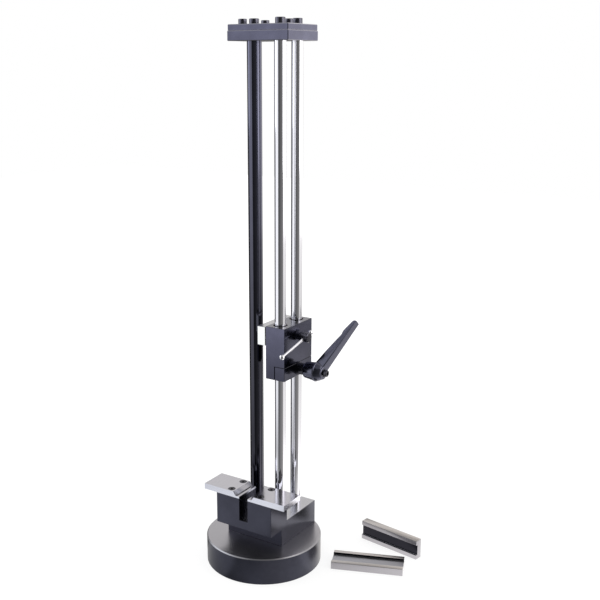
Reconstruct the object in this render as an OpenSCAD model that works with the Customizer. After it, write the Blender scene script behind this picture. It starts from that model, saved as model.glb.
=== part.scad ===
// Bore gauge setter: a tower on a round base, with a sliding clamp carriage, two ground anvil plates
// over a slotted front block, and two loose grooved jaw bars that stand beside it.
// Frame: origin at the centre of the disc's underside, X along the front from left to right,
// Y towards the back, Z up. The front block faces -Y. The carriage is drawn clamped, as it rests.

/* [Base disc] */
// Diameter of the round base disc
disc_d = 125; // [120:1:160]
// Height of the disc
disc_h = 29; // [24:0.5:40]
// Bright chamfer round the disc's top edge
disc_chamfer = 1; // [0.4:0.1:2]

/* [Base block] */
// Width of the base block and of the front block
block_w = 70; // [66:0.5:80]
// How far the base block reaches in front of the disc's axis
block_front = 18.5; // [16:0.5:22]
// How far the base block reaches behind the disc's axis
block_back = 50; // [48:0.5:54]
// Height of the base block above the disc
block_h = 26.4; // [25:0.2:32]
// Height of the seat for the front block above the disc
seat_h = 18.9; // [17:0.1:20]
// Depth of the seat, from the front of the base block
seat_d = 10.8; // [10.2:0.1:12]

/* [Front block] */
// Depth of the front block, from front to back
front_d = 31; // [28:0.5:36]
// Height of the front block
front_h = 34.3; // [32:0.1:40]
// Width of the gauge slot
slot_w = 11; // [8:0.5:14]
// Depth of the gauge slot below the top of the front block
slot_depth = 25; // [20:0.5:26]

/* [Anvil plates] */
// How far each anvil plate overhangs the side of the front block
plate_overhang = 16; // [10:0.5:20]
// Thickness of an anvil plate
plate_t = 6.3; // [5.8:0.1:8]
// Thickness of the ledge beside the slot
ledge_t = 2.1; // [1.6:0.1:3]
// Width of the ledge beside the slot
ledge_w = 4.7; // [3:0.1:5.5]
// Run of the bevel that rises from the ledge
bevel_run = 3; // [1:0.1:3.4]
// Distance of the plate screws from the middle of the slot
plate_screw_x = 18.4; // [18:0.1:22]
// Distance of the plate screws from the plate's front and back edges
plate_screw_inset = 5; // [4.6:0.1:7]

/* [Tower] */
// Distance of the two guide rods to the right of the middle
rod_x = 19; // [18:0.5:21]
// Distance between the axes of the two guide rods
rod_pitch = 31; // [29:0.5:33]
// Diameter of a guide rod
rod_d = 12; // [10:0.5:12.5]
// Distance of the black column to the left of the middle
column_x = 22; // [20:0.5:24]
// Diameter of the black column
column_d = 15; // [12:0.5:16]
// Distance of the tower's middle behind the disc's axis
tower_y = 19.6; // [19.3:0.1:20.5]
// Height of the underside of the lower top plate above the floor
tower_h = 549.8; // [450:0.5:700]
// Depth to which rods and column are let into the base block
foot_depth = 14; // [10:0.5:15]

/* [Top plates] */
// Width of the top plates
top_w = 71; // [66:0.5:76]
// Depth of the top plates, from front to back
top_d = 55; // [50:0.5:58]
// Thickness of the lower top plate
lower_top_t = 9.7; // [8:0.1:14]
// Thickness of the upper top plate
upper_top_t = 6; // [5:0.1:10]
// Step by which the upper plate stays inside the lower one all round
top_step = 0.4; // [0.2:0.1:1]
// Distance of the left tie screws from the middle of the tower, front to back
tie_pitch_y = 39.5; // [36:0.5:41]

/* [Carriage] */
// Width of the carriage
carriage_w = 23; // [22:0.2:24]
// Distance of the carriage's left face from the plane of the guide rods
carriage_left = 10.8; // [10.2:0.1:12]
// Depth of the carriage, from front to back
carriage_d = 54; // [50:0.5:54.2]
// Height of the carriage
carriage_h = 56.5; // [54:0.5:64]
// Height of the carriage's underside above the floor, as drawn
carriage_z = 209.8; // [200:0.2:480]
// Height of the split clamp jaw
clamp_h = 14.4; // [13:0.2:16]
// Width of the slit between the carriage and the clamp jaw
slit_w = 0.8; // [0.6:0.1:1.2]
// Thin gap above the clamp jaw
seam_gap = 0.5; // [0.2:0.1:0.8]
// Diameter of the shallow counterbore round each rod at the top of the carriage
wiper_d = 15; // [14.5:0.1:16]
// Depth of that counterbore
wiper_depth = 1.5; // [1:0.1:3]
// Wall of a carriage bush
bush_wall = 1; // [0.8:0.1:1.1]
// Length of a carriage bush
bush_l = 36; // [30:1:38]

/* [Clamp lever] */
// Height of the lever's axis above the carriage's underside
lever_axis_h = 8.2; // [7:0.1:9.4]
// Thread diameter of the clamp stud
stud_d = 8; // [6:1:8]
// Diameter of the stud's collar
collar_d = 12.4; // [11:0.1:13]
// Length of the stud's collar
collar_l = 11; // [10:0.1:12]
// Length of the collar that stays bare between the washer and the lever's hub
skirt_gap = 8.8; // [7:0.1:9.4]
// Outer diameter of the stud's serration
serration_d = 11.6; // [10.4:0.1:12]
// Length of the stud's serration
serration_l = 3.2; // [2.6:0.1:3.4]
// Number of teeth in the serration
serration_teeth = 24; // [16:1:32]
// Depth of a serration tooth
serration_depth = 0.7; // [0.5:0.05:0.9]
// Thickness of the hardened washer under the collar
washer_t = 1.5; // [1:0.1:2.5]
// Diameter of the washer
washer_d = 14; // [13:0.5:15]
// Largest diameter of the lever's hub
hub_d = 20.6; // [19:0.1:22]
// Diameter of the hub's conical cap where it meets the hub
hub_cap_d = 13; // [12.4:0.1:14]
// Length of the lever's hub, without its cap
hub_l = 20; // [19:0.5:23]
// Length of the hub's cap
hub_cap_l = 3.5; // [3:0.1:5]
// Distance of the lever's tip from its axis
lever_reach = 62; // [50:1:75]
// How far the lever's tip stands further out than its root
lever_rise = 20; // [8:1:26]
// Width of the lever's arm at its root
arm_root_w = 10.6; // [9:0.1:12]
// Thickness of the lever's arm at its root
arm_root_t = 7.3; // [6:0.1:9]
// Width of the lever's arm at its tip
arm_tip_w = 7.3; // [6:0.1:9]
// Thickness of the lever's arm at its tip
arm_tip_t = 6.5; // [5:0.1:8]
// Angle of the lever above the horizontal, towards the back
lever_angle = 47.7; // [0:0.1:90]
// Thread diameter of the lever's retaining screw
lever_screw_d = 4; // [3:1:4]
// Wire diameter of the lever's spring
spring_wire = 0.8; // [0.5:0.1:0.9]
// Number of turns in the lever's spring
spring_turns = 5; // [3:1:7]

/* [Pressure jaw] */
// Thickness of the pressure jaw
jaw_t = 9.4; // [8:0.2:11]
// Height of the pressure jaw
jaw_h = 20; // [16:0.5:22]
// Gap between the pressure jaw and the carriage, as drawn
jaw_gap = 0.7; // [0.6:0.1:1.5]
// Distance of the jaw's top below the top of the carriage
jaw_drop = 1; // [0.5:0.1:3]
// Diameter of a guide pin of the pressure jaw
guide_pin_d = 2.5; // [2:0.1:2.6]
// Distance of the guide pins from the carriage's front and back ends
guide_pin_inset = 2.3; // [2.2:0.1:2.6]
// Length of a guide pin inside the carriage
guide_pin_l = 14; // [8:0.5:16]
// Length of a guide pin inside the jaw
guide_pin_seat = 6; // [4:0.5:7]
// Diameter of the pin that holds the screw's tip in the jaw
retainer_d = 2; // [1.5:0.1:2]

/* [Tee screw] */
// Distance of the tee screw's axis below the top of the carriage
tee_drop = 13.2; // [12:0.1:14]
// Thread diameter of the tee screw
tee_d = 8; // [6:1:8]
// Diameter of the screw's turned tip in the jaw
tip_d = 5; // [4.5:0.1:5.5]
// Length of the turned tip in the jaw
tip_l = 6.5; // [6:0.1:7]
// Diameter of the screw's head
tee_head_d = 10.5; // [9:0.1:12]
// Length of the screw's head
tee_head_l = 11; // [10:0.1:13]
// Length of the plain neck between the carriage and the head
tee_neck_l = 2.6; // [2.2:0.1:4]
// Diameter of the tommy bar
bar_d = 3; // [2.5:0.1:3.5]
// Diameter of the balls on the tommy bar
ball_d = 5.6; // [5:0.1:6.5]
// Distance between the middles of the two balls
bar_span = 56; // [40:1:60]
// Distance of the far ball from the screw's axis, as drawn
bar_back = 10.4; // [9:0.1:14]
// Angle by which the bar's near end hangs below the horizontal, as drawn
bar_angle = 13; // [0:1:20]

/* [Loose jaw bars] */
// Length of the narrow jaw bar
narrow_l = 74; // [60:1:90]
// Width of the narrow jaw bar
narrow_w = 22; // [18:0.5:26]
// Thickness of the narrow jaw bar
narrow_t = 9.2; // [7:0.1:12]
// Width of the narrow bar's groove
narrow_groove = 12; // [8:0.5:14]
// Length of the wide jaw bar
wide_l = 77; // [60:1:90]
// Width of the wide jaw bar
wide_w = 27.5; // [22:0.5:30]
// Thickness of the wide jaw bar
wide_t = 8.2; // [7:0.1:12]
// Width of the wide bar's groove
wide_groove = 16.5; // [10:0.5:18]
// Depth of the groove in each bar
groove_depth = 2.2; // [1:0.1:3]
// Small chamfer along the bars' ground edges
bar_chamfer = 0.4; // [0.2:0.1:0.8]
// Place of the narrow bar's front left corner, to the right of the disc's axis
narrow_x = 72.4; // [70:0.2:90]
// Place of the same corner, behind the disc's axis
narrow_y = 92.9; // [90:0.2:110]
// Heading of the narrow bar
narrow_turn = -8.5; // [-20:0.5:0]
// Place of the wide bar's front left corner, to the right of the disc's axis
wide_x = 76.9; // [76:0.2:90]
// Place of the same corner, behind the disc's axis
wide_y = 14.3; // [0:0.2:16]
// Heading of the wide bar
wide_turn = 21.6; // [0:0.2:24]

/* [Screws] */
// Thread diameter of the screws in the tower and the disc
tower_screw_d = 6; // [5:1:6]
// Thread diameter of the screws that tie the top plates and hold the front block
tie_screw_d = 5; // [4:1:5]
// Thread diameter of the anvil plates' screws
plate_screw_d = 4; // [3:1:4]
// Length of thread engaged by a tower or disc screw
tower_grip = 12; // [10:0.5:13]
// Length of thread engaged by a front block screw
block_grip = 11; // [9:0.5:12]
// Length of thread engaged by a plate screw
plate_grip = 8; // [6:0.5:10]
// Depth of the holes for the front block's screws, below the anvil plates
block_screw_drop = 14; // [8:0.5:16]

/* [Fits] */
// Radial clearance of the rods in the carriage's bushes
running_fit = 0.05; // [0.02:0.01:0.08]
// Radial clearance of pins and plain shanks in their holes
pin_fit = 0.04; // [0.02:0.01:0.08]
// Radial clearance between a thread and its hole
thread_fit = 0.05; // [0.02:0.01:0.08]
// Radial clearance of a rod, column or bush in its seat
seat_fit = 0.02; // [0.01:0.01:0.04]
// Gap between ends and faces that must not touch
end_gap = 0.3; // [0.2:0.05:0.5]

/* [Hidden] */
$fn = 64;

black_oxide = [0.20, 0.20, 0.23];
ground_steel = [0.80, 0.80, 0.83];
bright_chrome = [0.88, 0.89, 0.92];
satin_black = [0.24, 0.24, 0.28];
screw_black = [0.14, 0.14, 0.15];
bronze = [0.66, 0.50, 0.30];

// Standard proportions of a socket cap screw of thread diameter d
function head_d(d) = 1.5 * d + 1;
function head_h(d) = d;
function key_w(d) = d - 1;
function clear_d(d) = 1.1 * d;
function counterbore_d(d) = head_d(d) + 1;
head_slack = 0.5;

// Levels of the base
seat_z = disc_h + seat_h;
block_top = disc_h + block_h;
front_top = seat_z + front_h;
slot_z = front_top - slot_depth;
foot_z = block_top - foot_depth;

// Places of the base, front to back
front_back_y = seat_d - block_front;
front_face_y = front_back_y - front_d;

// Places of the tower
rod_y = [tower_y - rod_pitch / 2, tower_y + rod_pitch / 2];
posts = [[rod_x, rod_y[0], rod_d], [rod_x, rod_y[1], rod_d], [-column_x, tower_y, column_d]];
lower_top_z = tower_h + lower_top_t;
upper_top_z = lower_top_z + upper_top_t;
tie_places = [
    [-column_x, tower_y - tie_pitch_y / 2],
    [-column_x, tower_y + tie_pitch_y / 2],
    [rod_x, tower_y]
];
tie_floor = 1.5;
tie_grip = lower_top_t - tie_floor;

// Screws of the disc and of the front block
disc_screw_depth = head_h(tower_screw_d) + head_slack;
disc_screw_inset_x = 7;
disc_screw_inset_y = 6;
disc_screw_y = [front_back_y + disc_screw_inset_y, block_back - disc_screw_inset_y];
disc_screw_places = [
    for (side = [-1, 1], y = disc_screw_y) [side * (block_w / 2 - disc_screw_inset_x), y]
];
block_screw_inset = 8;
block_screw_x = block_w / 2 - block_screw_inset;
block_screw_y = -block_front + seat_d / 2;
foot_web = foot_z - disc_h - disc_screw_depth;
blind_extra = 1.5;

// Places of the anvil plates' screws
plate_end = block_w / 2 + plate_overhang;
plate_screw_y = [front_face_y + plate_screw_inset, front_back_y - plate_screw_inset];
plate_head_drop = 0.2;
plate_web = plate_t - head_h(plate_screw_d) - plate_head_drop;

// Carriage faces
carriage_x0 = rod_x - carriage_left;
carriage_x1 = carriage_x0 + carriage_w;
carriage_y0 = tower_y - carriage_d / 2;
carriage_top = carriage_z + carriage_h;
clamp_x0 = rod_x + slit_w / 2;
bush_top = carriage_top - wiper_depth;
edge = 0.3;

// Clamp lever, along X from the clamp jaw's right face
lever_z = carriage_z + lever_axis_h;
stud_wall = 2;
stud_tip_x = carriage_x0 + stud_wall;
collar_x = carriage_x1 + washer_t;
serration_x = collar_x + collar_l;
stud_end_x = serration_x + serration_l;
skirt_x = collar_x + skirt_gap;
hub_x = skirt_x + hub_l;
cap_x = hub_x + hub_cap_l;
lever_web = 3.4;
spring_seat_x = stud_end_x + lever_web;
lever_head_out = 1.9;
spring_top_x = cap_x + lever_head_out - head_h(lever_screw_d);
spring_bore_d = head_d(lever_screw_d) + 0.8;
spring_mean_d = head_d(lever_screw_d) - spring_wire - 0.6;
lever_screw_grip = 9;

// Pressure jaw and tee screw, along X
jaw_x1 = carriage_x0 - jaw_gap;
jaw_x0 = jaw_x1 - jaw_t;
jaw_z1 = carriage_top - jaw_drop;
jaw_z0 = jaw_z1 - jaw_h;
tee_z = carriage_top - tee_drop;
guide_pin_y = [carriage_y0 + guide_pin_inset, carriage_y0 + carriage_d - guide_pin_inset];
tip_x = jaw_x1 - tip_l;
groove_w = retainer_d + end_gap;
tip_button_l = 1.2;
groove_x = tip_x + tip_button_l;
groove_core_d = tip_d - retainer_d - 2 * end_gap;
retainer_x = groove_x + groove_w / 2;
retainer_y = tower_y + tip_d / 2;
tee_head_x = carriage_x1 + tee_neck_l;
bar_offset = 0.4;
bar_x = tee_head_x + tee_head_l / 2 + bar_offset;

// Cap screw along Z, with its head's seat at z = 0 and its thread below
module cap_screw(d, l) {
    crown = 0.08 * head_d(d);
    difference() {
        union() {
            translate([0, 0, -l]) cylinder(d = d, h = l);
            cylinder(d = head_d(d), h = head_h(d) - crown);
            translate([0, 0, head_h(d) - crown])
                cylinder(d1 = head_d(d), d2 = head_d(d) - 2 * crown, h = crown);
        }
        translate([0, 0, head_h(d) * 0.45])
            cylinder(d = key_w(d) / cos(30), h = head_h(d), $fn = 6);
    }
}

// Hole of diameter d from z = 0 downwards, open at the top
module hole(d, depth) {
    translate([0, 0, -depth]) cylinder(d = d, h = depth + 1);
}

// Clearance hole with a counterbore that opens upwards: the head's seat is at z = 0
module counterbored_hole(d, below, above) {
    hole(clear_d(d), below);
    cylinder(d = counterbore_d(d), h = above);
}

// Rectangle w by d from its lower left corner, with its corners cut off at c
module cut_corners(w, d, c) {
    polygon([[c, 0], [w - c, 0], [w, c], [w, d - c], [w - c, d], [c, d], [0, d - c], [0, c]]);
}

// Box from its lowest corner, with all its edges broken by a small chamfer
module block(size, c = edge) {
    intersection() {
        linear_extrude(size[2]) cut_corners(size[0], size[1], c);
        rotate([90, 0, 90]) linear_extrude(size[0]) cut_corners(size[1], size[2], c);
        translate([0, size[1], 0])
            rotate([90, 0, 0]) linear_extrude(size[1]) cut_corners(size[0], size[2], c);
    }
}

// Round post along Z with chamfered ends, tapped at both ends
module post(d, z0, z1) {
    c = 0.5;
    difference() {
        union() {
            translate([0, 0, z0]) cylinder(d1 = d - 2 * c, d2 = d, h = c);
            translate([0, 0, z0 + c]) cylinder(d = d, h = z1 - z0 - 2 * c);
            translate([0, 0, z1 - c]) cylinder(d1 = d, d2 = d - 2 * c, h = c);
        }
        tapped = tower_screw_d + 2 * thread_fit;
        translate([0, 0, z0 - 1]) cylinder(d = tapped, h = tower_grip + blind_extra + 1);
        translate([0, 0, z1]) hole(tapped, tower_grip + blind_extra);
    }
}

module base_disc() {
    color(black_oxide)
        difference() {
            union() {
                cylinder(d1 = disc_d - disc_chamfer, d2 = disc_d, h = disc_chamfer / 2);
                translate([0, 0, disc_chamfer / 2])
                    cylinder(d = disc_d, h = disc_h - 1.5 * disc_chamfer, $fn = 180);
                translate([0, 0, disc_h - disc_chamfer])
                    cylinder(d1 = disc_d, d2 = disc_d - 2 * disc_chamfer, h = disc_chamfer);
            }
            for (p = disc_screw_places)
                translate([p[0], p[1], disc_screw_depth])
                    mirror([0, 0, 1])
                        counterbored_hole(tower_screw_d, disc_h, disc_screw_depth + 1);
        }
}

module disc_screws() {
    color(screw_black)
        for (p = disc_screw_places)
            translate([p[0], p[1], disc_screw_depth])
                mirror([0, 0, 1])
                    cap_screw(tower_screw_d, disc_h - disc_screw_depth + tower_grip);
}

module base_block() {
    depth = block_front + block_back;
    tapped = tower_screw_d + 2 * thread_fit;
    color(black_oxide)
        difference() {
            translate([-block_w / 2, -block_front, disc_h]) block([block_w, depth, block_h]);
            translate([-block_w, -block_front - 1, seat_z])
                cube([2 * block_w, seat_d + 1, block_h]);
            for (p = posts)
                translate([p[0], p[1], 0]) {
                    translate([0, 0, block_top]) hole(p[2] + 2 * seat_fit, foot_depth);
                    translate([0, 0, disc_h + disc_screw_depth])
                        mirror([0, 0, 1])
                            counterbored_hole(tower_screw_d, block_h, disc_screw_depth + 1);
                }
            for (p = disc_screw_places)
                translate([p[0], p[1], disc_h - 1])
                    cylinder(d = tapped, h = tower_grip + blind_extra + 1);
            for (side = [-1, 1])
                translate([side * block_screw_x, block_screw_y, seat_z])
                    hole(tie_screw_d + 2 * thread_fit, block_grip + blind_extra);
        }
}

module tower_foot_screws() {
    color(screw_black)
        for (p = posts)
            translate([p[0], p[1], disc_h + disc_screw_depth])
                mirror([0, 0, 1])
                    cap_screw(tower_screw_d, foot_web + tower_grip);
}

module front_block() {
    color(black_oxide)
        difference() {
            translate([-block_w / 2, front_face_y, seat_z]) block([block_w, front_d, front_h]);
            translate([-slot_w / 2, front_face_y - 1, slot_z])
                cube([slot_w, front_d + 2, slot_depth + 1]);
            for (side = [-1, 1])
                translate([side * block_screw_x, block_screw_y, front_top - block_screw_drop])
                    counterbored_hole(tie_screw_d, front_h, block_screw_drop + 1);
            for (side = [-1, 1], y = plate_screw_y)
                translate([side * plate_screw_x, y, front_top])
                    hole(plate_screw_d + 2 * thread_fit, plate_grip + blind_extra);
        }
}

module front_block_screws() {
    color(screw_black)
        for (side = [-1, 1])
            translate([side * block_screw_x, block_screw_y, front_top - block_screw_drop])
                cap_screw(tie_screw_d, front_h - block_screw_drop + block_grip);
}

// Right-hand anvil plate: its section is carried from front to back
module anvil_plate() {
    foot = slot_w / 2 + ledge_w;
    section = [
        [slot_w / 2, 0], [plate_end, 0], [plate_end, plate_t],
        [foot + bevel_run, plate_t], [foot, ledge_t], [slot_w / 2, ledge_t]
    ];
    color(ground_steel)
        difference() {
            translate([0, front_back_y, front_top])
                rotate([90, 0, 0]) linear_extrude(front_d) polygon(section);
            for (y = plate_screw_y)
                translate([plate_screw_x, y, front_top + plate_web])
                    counterbored_hole(plate_screw_d, plate_t, plate_t);
        }
}

module right_anvil_plate() {
    anvil_plate();
}

module left_anvil_plate() {
    mirror([1, 0, 0]) anvil_plate();
}

module plate_screws() {
    color(screw_black)
        for (y = plate_screw_y)
            translate([plate_screw_x, y, front_top + plate_web])
                cap_screw(plate_screw_d, plate_web + plate_grip);
}

module right_plate_screws() {
    plate_screws();
}

module left_plate_screws() {
    mirror([1, 0, 0]) plate_screws();
}

module guide_rod(i) {
    color(bright_chrome)
        translate([posts[i][0], posts[i][1], 0]) post(posts[i][2], foot_z, lower_top_z);
}

module front_guide_rod() {
    guide_rod(0);
}

module rear_guide_rod() {
    guide_rod(1);
}

module support_column() {
    color(screw_black)
        translate([posts[2][0], posts[2][1], 0]) post(posts[2][2], foot_z, lower_top_z);
}

module lower_top_plate() {
    color(black_oxide)
        difference() {
            translate([-top_w / 2, tower_y - top_d / 2, tower_h])
                block([top_w, top_d, lower_top_t], 2 * edge);
            for (p = posts)
                translate([p[0], p[1], lower_top_z + 1])
                    hole(p[2] + 2 * seat_fit, lower_top_t + 2);
            for (p = tie_places)
                translate([p[0], p[1], lower_top_z])
                    hole(tie_screw_d + 2 * thread_fit, tie_grip);
        }
}

module upper_top_plate() {
    color(black_oxide)
        difference() {
            translate([top_step - top_w / 2, tower_y - top_d / 2 + top_step, lower_top_z])
                block([top_w - 2 * top_step, top_d - 2 * top_step, upper_top_t], 2 * edge);
            for (p = posts)
                translate([p[0], p[1], upper_top_z])
                    hole(clear_d(tower_screw_d), upper_top_t + 1);
            for (p = tie_places)
                translate([p[0], p[1], upper_top_z])
                    hole(clear_d(tie_screw_d), upper_top_t + 1);
        }
}

module tower_top_screws() {
    color(screw_black)
        for (p = posts)
            translate([p[0], p[1], upper_top_z])
                cap_screw(tower_screw_d, upper_top_t + tower_grip);
}

module top_tie_screws() {
    color(screw_black)
        for (p = tie_places)
            translate([p[0], p[1], upper_top_z])
                cap_screw(tie_screw_d, upper_top_t + tie_grip - 1);
}

// Round hole along X from x0 to x1
module cross_hole(d, x0, x1, y, z) {
    translate([x0, y, z]) rotate([0, 90, 0]) cylinder(d = d, h = x1 - x0);
}

module carriage_block() {
    bush_d = rod_d + 2 * running_fit + 2 * bush_wall;
    color(black_oxide)
        difference() {
            translate([carriage_x0, carriage_y0, carriage_z])
                block([carriage_w, carriage_d, carriage_h]);
            translate([rod_x - slit_w / 2, carriage_y0 - 1, carriage_z - 1])
                cube([carriage_w, carriage_d + 2, clamp_h + seam_gap + 1]);
            for (y = rod_y)
                translate([rod_x, y, 0]) {
                    translate([0, 0, carriage_top + 1])
                        hole(rod_d + 4 * running_fit, carriage_h + 2);
                    translate([0, 0, bush_top]) hole(bush_d + 2 * seat_fit, bush_l);
                    translate([0, 0, carriage_top]) hole(wiper_d, wiper_depth);
                }
            cross_hole(stud_d + 2 * thread_fit, stud_tip_x - end_gap, carriage_x1, tower_y, lever_z);
            cross_hole(tee_d + 2 * thread_fit, carriage_x0 - 1, carriage_x1 + 1, tower_y, tee_z);
            for (y = guide_pin_y)
                cross_hole(guide_pin_d + 2 * pin_fit, carriage_x0 - 1,
                    carriage_x0 + guide_pin_l + 1, y, tee_z);
        }
}

module carriage_bushes() {
    color(bronze)
        for (y = rod_y)
            translate([rod_x, y, bush_top - bush_l])
                difference() {
                    cylinder(d = rod_d + 2 * running_fit + 2 * bush_wall, h = bush_l);
                    translate([0, 0, -1]) cylinder(d = rod_d + 2 * running_fit, h = bush_l + 2);
                }
}

module clamp_jaw() {
    color(black_oxide)
        difference() {
            translate([clamp_x0, carriage_y0, carriage_z])
                block([carriage_x1 - clamp_x0, carriage_d, clamp_h]);
            for (y = rod_y)
                translate([rod_x, y, carriage_z - 1])
                    cylinder(d = rod_d + 2 * seat_fit, h = clamp_h + 2);
            cross_hole(clear_d(stud_d), clamp_x0 - 1, carriage_x1 + 1, tower_y, lever_z);
        }
}

// Everything on the lever is drawn along +Z from the jaw's right face, then laid along +X
module on_lever_axis() {
    translate([0, tower_y, lever_z]) rotate([0, 90, 0]) children();
}

// Star outline with straight-sided teeth
module serration(d) {
    polygon([
        for (i = [0:2 * serration_teeth - 1])
            let (r = d / 2 - (i % 2) * serration_depth, a = 180 * i / serration_teeth)
            [r * cos(a), r * sin(a)]
    ]);
}

module lever_washer() {
    color(bright_chrome)
        on_lever_axis()
            translate([0, 0, carriage_x1])
                difference() {
                    cylinder(d = washer_d, h = washer_t);
                    translate([0, 0, -1]) cylinder(d = clear_d(stud_d), h = washer_t + 2);
                }
}

module lever_stud() {
    color(screw_black)
        on_lever_axis()
            difference() {
                union() {
                    translate([0, 0, stud_tip_x])
                        cylinder(d = stud_d, h = collar_x - stud_tip_x);
                    translate([0, 0, collar_x]) cylinder(d = collar_d, h = collar_l);
                    translate([0, 0, serration_x])
                        linear_extrude(serration_l) serration(serration_d);
                }
                translate([0, 0, stud_end_x])
                    hole(lever_screw_d + 2 * thread_fit, lever_screw_grip + blind_extra);
            }
}

// Hub of the lever as a profile of [radius, distance along the axis]
function hub_profile() = [
    [0, skirt_x], [hub_d / 2 - 1.9, skirt_x], [hub_d / 2 - 1.5, skirt_x + 0.6],
    [hub_d / 2 - 0.3, skirt_x + hub_l * 0.28], [hub_d / 2, skirt_x + hub_l * 0.45],
    [hub_d / 2 - 0.3, skirt_x + hub_l * 0.64], [hub_d / 2 - 1.3, skirt_x + hub_l * 0.82],
    [hub_cap_d / 2 + 1.2, hub_x - 1.4], [hub_cap_d / 2, hub_x],
    [hub_cap_d / 2 - 1.5, cap_x], [0, cap_x]
];

// Slice across the arm, w along the lever's axis and t across it, with broken corners
module arm_slice(w, t) {
    c = 1.2;
    translate([-w / 2, -t / 2, 0]) linear_extrude(0.5) cut_corners(w, t, c);
}

// Arm as a straight taper from the axis to its tip, pointing along -X of the lever's frame
module lever_arm() {
    tilt = atan2(lever_rise, lever_reach);
    translate([0, 0, skirt_x + hub_l * 0.68])
        rotate([0, tilt - 90, 0])
            hull() {
                arm_slice(arm_root_w, arm_root_t);
                translate([0, 0, lever_reach / cos(tilt) - 2]) arm_slice(arm_tip_w, arm_tip_t);
                translate([0, 0, lever_reach / cos(tilt) - 0.5])
                    arm_slice(arm_tip_w - 1.4, arm_tip_t - 1.4);
            }
}

module lever_handle() {
    color(satin_black)
        on_lever_axis()
            difference() {
                union() {
                    rotate_extrude() polygon(hub_profile());
                    rotate([0, 0, lever_angle - 90]) lever_arm();
                }
                translate([0, 0, skirt_x - 1])
                    cylinder(d = collar_d + 2 * end_gap, h = serration_x - skirt_x + 1.1);
                translate([0, 0, serration_x])
                    linear_extrude(serration_l + end_gap) serration(serration_d + 2 * pin_fit);
                translate([0, 0, stud_end_x]) cylinder(d = clear_d(lever_screw_d), h = cap_x);
                translate([0, 0, spring_seat_x]) cylinder(d = spring_bore_d, h = cap_x);
            }
}

module lever_screw() {
    color(screw_black)
        on_lever_axis()
            translate([0, 0, spring_top_x])
                cap_screw(lever_screw_d, spring_top_x - stud_end_x + lever_screw_grip);
}

// Coil of round wire along +Z, with its end turns lying on their seats
module coil(mean_d, wire, height, turns, steps = 14, sides = 8) {
    last = turns * steps;
    function centre(i) = [
        mean_d / 2 * cos(360 * i / steps),
        mean_d / 2 * sin(360 * i / steps),
        wire / 2 + (height - wire) * i / last
    ];
    points = [
        for (i = [0:last], k = [0:sides - 1])
            let (c = centre(i), a = 360 * i / steps, b = 360 * k / sides)
            [
                c[0] + wire / 2 * cos(b) * cos(a),
                c[1] + wire / 2 * cos(b) * sin(a),
                c[2] + wire / 2 * sin(b)
            ]
    ];
    walls = [
        for (i = [0:last - 1], k = [0:sides - 1])
            let (a = i * sides + k, b = i * sides + (k + 1) % sides)
            [a, b, b + sides, a + sides]
    ];
    start = [for (k = [sides - 1:-1:0]) k];
    end = [for (k = [0:sides - 1]) last * sides + k];
    polyhedron(points = points, faces = concat(walls, [start, end]), convexity = 10);
}

module lever_spring() {
    color(bright_chrome)
        on_lever_axis()
            translate([0, 0, spring_seat_x])
                coil(spring_mean_d, spring_wire, spring_top_x - spring_seat_x, spring_turns);
}

module pressure_jaw() {
    color(ground_steel)
        difference() {
            translate([jaw_x0, carriage_y0, jaw_z0]) block([jaw_t, carriage_d, jaw_h]);
            cross_hole(tip_d + 2 * pin_fit, tip_x - end_gap, jaw_x1 + 1, tower_y, tee_z);
            for (y = guide_pin_y)
                cross_hole(guide_pin_d + 2 * seat_fit, jaw_x1 - guide_pin_seat, jaw_x1 + 1, y, tee_z);
            translate([retainer_x, retainer_y, jaw_z0 - 1])
                cylinder(d = retainer_d + 2 * seat_fit, h = jaw_h + 2);
        }
}

module jaw_guide_pins() {
    color(bright_chrome)
        for (y = guide_pin_y)
            cross_hole(guide_pin_d, jaw_x1 - guide_pin_seat, carriage_x0 + guide_pin_l - 1, y, tee_z);
}

module jaw_retaining_pin() {
    color(screw_black)
        translate([retainer_x, retainer_y, jaw_z0 + end_gap])
            cylinder(d = retainer_d, h = jaw_h - 2 * end_gap);
}

module tee_screw() {
    lead = 0.8;
    color(screw_black)
        difference() {
            translate([0, tower_y, tee_z])
                rotate([0, 90, 0])
                    union() {
                        translate([0, 0, tip_x]) cylinder(d = tip_d, h = groove_x - tip_x);
                        translate([0, 0, groove_x]) cylinder(d = groove_core_d, h = groove_w);
                        translate([0, 0, groove_x + groove_w])
                            cylinder(d = tip_d, h = jaw_x1 + end_gap - groove_x - groove_w);
                        translate([0, 0, jaw_x1 + end_gap])
                            cylinder(d = tee_d, h = tee_head_x - jaw_x1 - end_gap);
                        translate([0, 0, tee_head_x])
                            cylinder(d1 = tee_head_d - 2 * lead, d2 = tee_head_d, h = lead);
                        translate([0, 0, tee_head_x + lead])
                            cylinder(d = tee_head_d, h = tee_head_l - 2 * lead);
                        translate([0, 0, tee_head_x + tee_head_l - lead])
                            cylinder(d1 = tee_head_d, d2 = tee_head_d - 2 * lead, h = lead);
                    }
            along_bar()
                translate([0, 0, -tee_head_d])
                    cylinder(d = bar_d + 2 * pin_fit, h = 2 * tee_head_d);
        }
}

// The bar's own axis is +Z of this frame, and points to its near end
module along_bar() {
    translate([bar_x, tower_y, tee_z]) rotate([90 + bar_angle, 0, 0]) children();
}

module tommy_bar() {
    seat = ball_d / 2 - 1;
    color(bright_chrome)
        along_bar()
            translate([0, 0, seat - bar_back]) cylinder(d = bar_d, h = bar_span - 2 * seat);
}

module tommy_bar_balls() {
    socket_l = 1.6;
    seat = ball_d / 2 - 1;
    color(bright_chrome)
        along_bar()
            for (end = [0, 1])
                translate([0, 0, end * bar_span - bar_back])
                    mirror([0, 0, end])
                        difference() {
                            sphere(d = ball_d);
                            translate([0, 0, seat]) cylinder(d = bar_d + 2 * seat_fit, h = socket_l + 2);
                        }
}

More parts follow.
